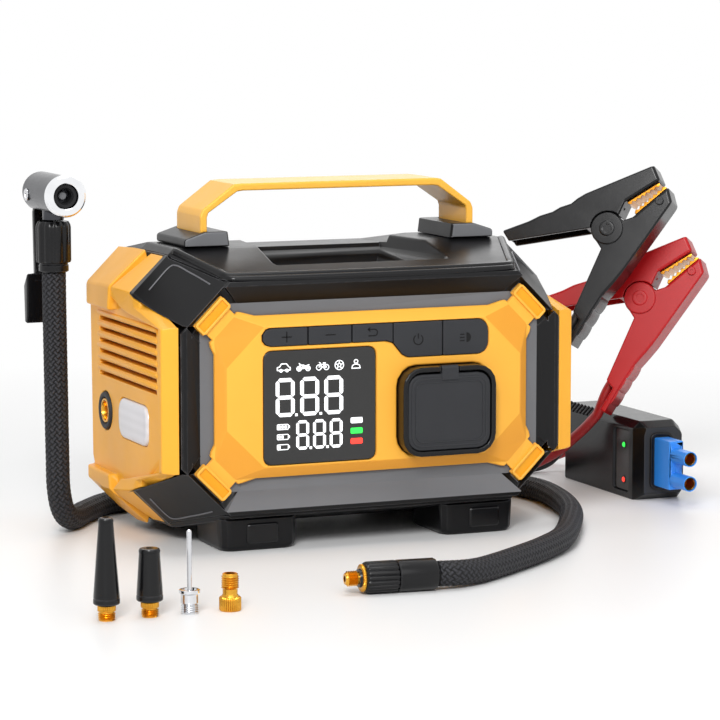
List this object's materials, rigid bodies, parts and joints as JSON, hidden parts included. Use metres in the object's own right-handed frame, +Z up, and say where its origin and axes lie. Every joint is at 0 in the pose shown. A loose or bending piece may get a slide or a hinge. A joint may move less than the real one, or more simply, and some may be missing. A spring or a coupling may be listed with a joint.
{
  "type": "jump starter pack",
  "caption": "Portable jump starter with tyre pump: octagonal case with carrying handle, display, keys and capped outlets, plus air hose, jump clamps and inflation nozzles.",
  "frame": {"origin": "on the floor under the middle of the case and the row of nozzles", "axes": "+Z up, +X to the right along the case's width, +Y to the back, the display faces -Y"},
  "size_m": [0.4205, 0.3343, 0.1843],
  "materials": {
    "yellow_plastic": "satin",
    "black_plastic": "satin",
    "grey_rubber": "matte",
    "display_glass": "gloss",
    "lens": "frosted",
    "braid": "braided",
    "chrome": "polished",
    "brass": "polished",
    "copper": "satin",
    "steel": "satin",
    "board": "satin",
    "cells": "shrink wrap",
    "red_plastic": "satin",
    "red_sheath": "satin",
    "black_sheath": "satin",
    "blue_plastic": "satin"
  },
  "bodies": {
    "pack": {"front_frame": "black_plastic", "rear_housing": "black_plastic", "left_end_cap": "yellow_plastic", "right_end_cap": "yellow_plastic", "top_cover": "black_plastic", "bottom_cover": "black_plastic", "front_panel": "yellow_plastic", "display_window": "display_glass", "socket_bezel": "black_plastic", "socket_block": "black_plastic", "carry_handle": "yellow_plastic", "left_bracket": "black_plastic", "right_bracket": "black_plastic", "main_board": "board", "battery_pack": "cells", "pump_motor": "steel", "pump_cylinder": "steel", "starter_socket": "blue_plastic", "lamp_lens": "lens", "air_port_ring": "black_plastic", "air_outlet": "brass", "air_hose": "braid", "chuck_collar": "black_plastic", "chuck_body": "chrome", "hose_collar": "black_plastic", "hose_tip": "brass", "red_lower_arm": "red_plastic", "red_pivot_pin": "red_plastic", "red_spring": "steel", "red_lower_jaw": "copper", "black_lower_arm": "black_plastic", "black_pivot_pin": "black_plastic", "black_spring": "steel", "black_lower_jaw": "copper", "smart_box": "black_plastic", "plug_housing": "blue_plastic", "plus_contact": "brass", "minus_contact": "brass", "red_lead": "red_sheath", "black_lead": "black_sheath"},
    "plus_key": {"plus_button": "grey_rubber"},
    "minus_key": {"minus_button": "grey_rubber"},
    "mode_key": {"mode_button": "grey_rubber"},
    "power_key": {"power_button": "grey_rubber"},
    "lamp_key": {"lamp_button": "grey_rubber"},
    "door": {"socket_door": "grey_rubber"},
    "crank": {"crank_gear": "steel"},
    "pinion": {"motor_pinion": "steel"},
    "piston": {"pump_piston": "steel"},
    "red_arm": {"red_upper_arm": "red_plastic", "red_upper_jaw": "copper"},
    "black_arm": {"black_upper_arm": "black_plastic", "black_upper_jaw": "copper"},
    "lever": {"chuck_lever": "chrome"},
    "long_nozzle": {"long_cone": "black_plastic", "long_cone_base": "brass"},
    "short_nozzle": {"short_cone": "black_plastic", "short_cone_base": "brass"},
    "needle": {"ball_needle": "chrome"},
    "adaptor": {"valve_adaptor": "brass"}
  },
  "joints": [
    {"name": "plus_press", "type": "slide", "parent": "pack", "child": "plus_key", "axis": [0, 1, 0], "range_m": [0, 0.0012], "stiffness_N_per_m": 500},
    {"name": "minus_press", "type": "slide", "parent": "pack", "child": "minus_key", "axis": [0, 1, 0], "range_m": [0, 0.0012], "stiffness_N_per_m": 500},
    {"name": "mode_press", "type": "slide", "parent": "pack", "child": "mode_key", "axis": [0, 1, 0], "range_m": [0, 0.0012], "stiffness_N_per_m": 500},
    {"name": "power_press", "type": "slide", "parent": "pack", "child": "power_key", "axis": [0, 1, 0], "range_m": [0, 0.0012], "stiffness_N_per_m": 500},
    {"name": "lamp_press", "type": "slide", "parent": "pack", "child": "lamp_key", "axis": [0, 1, 0], "range_m": [0, 0.0012], "stiffness_N_per_m": 500},
    {"name": "door_hinge", "type": "hinge", "parent": "pack", "child": "door", "pos_m": [0.0757, -0.0047, 0.0876], "axis": [-1, 0, 0], "range_deg": [0, 100]},
    {"name": "crank_turn", "type": "hinge", "parent": "pack", "child": "crank", "pos_m": [-0.0084, 0.0636, 0.105], "axis": [1, 0, 0], "continuous": true},
    {"name": "pinion_turn", "type": "hinge", "parent": "pack", "child": "pinion", "pos_m": [-0.0084, 0.0876, 0.105], "axis": [1, 0, 0], "continuous": true},
    {"name": "piston_stroke", "type": "slide", "parent": "pack", "child": "piston", "axis": [0, 1, 0], "range_m": [0, 0.014]},
    {"name": "red_clamp_open", "type": "hinge", "parent": "pack", "child": "red_arm", "pos_m": [0.235, 0.089, 0.1057], "axis": [-0.5999, -0.7678, 0.225], "range_deg": [0, 28], "stiffness_Nm_per_rad": 1.5, "springref_deg": -17.19},
    {"name": "black_clamp_open", "type": "hinge", "parent": "pack", "child": "black_arm", "pos_m": [0.2077, 0.076, 0.1455], "axis": [-0.5999, -0.7678, 0.225], "range_deg": [0, 28], "stiffness_Nm_per_rad": 1.5, "springref_deg": -17.19},
    {"name": "lever_flip", "type": "hinge", "parent": "pack", "child": "lever", "pos_m": [-0.102, 0.0966, 0.173], "axis": [1, 0, 0], "range_deg": [0, 80]},
    {"name": "long_nozzle_lift", "type": "slide", "parent": "pack", "child": "long_nozzle", "axis": [0, 0, 1], "range_m": [0, 0.08]},
    {"name": "short_nozzle_lift", "type": "slide", "parent": "pack", "child": "short_nozzle", "axis": [0, 0, 1], "range_m": [0, 0.08]},
    {"name": "needle_lift", "type": "slide", "parent": "pack", "child": "needle", "axis": [0, 0, 1], "range_m": [0, 0.08]},
    {"name": "adaptor_lift", "type": "slide", "parent": "pack", "child": "adaptor", "axis": [0, 0, 1], "range_m": [0, 0.08]}
  ],
  "couplings": [
    {"joint": "pinion_turn", "follows": "crank_turn", "ratio": -3}
  ]
}
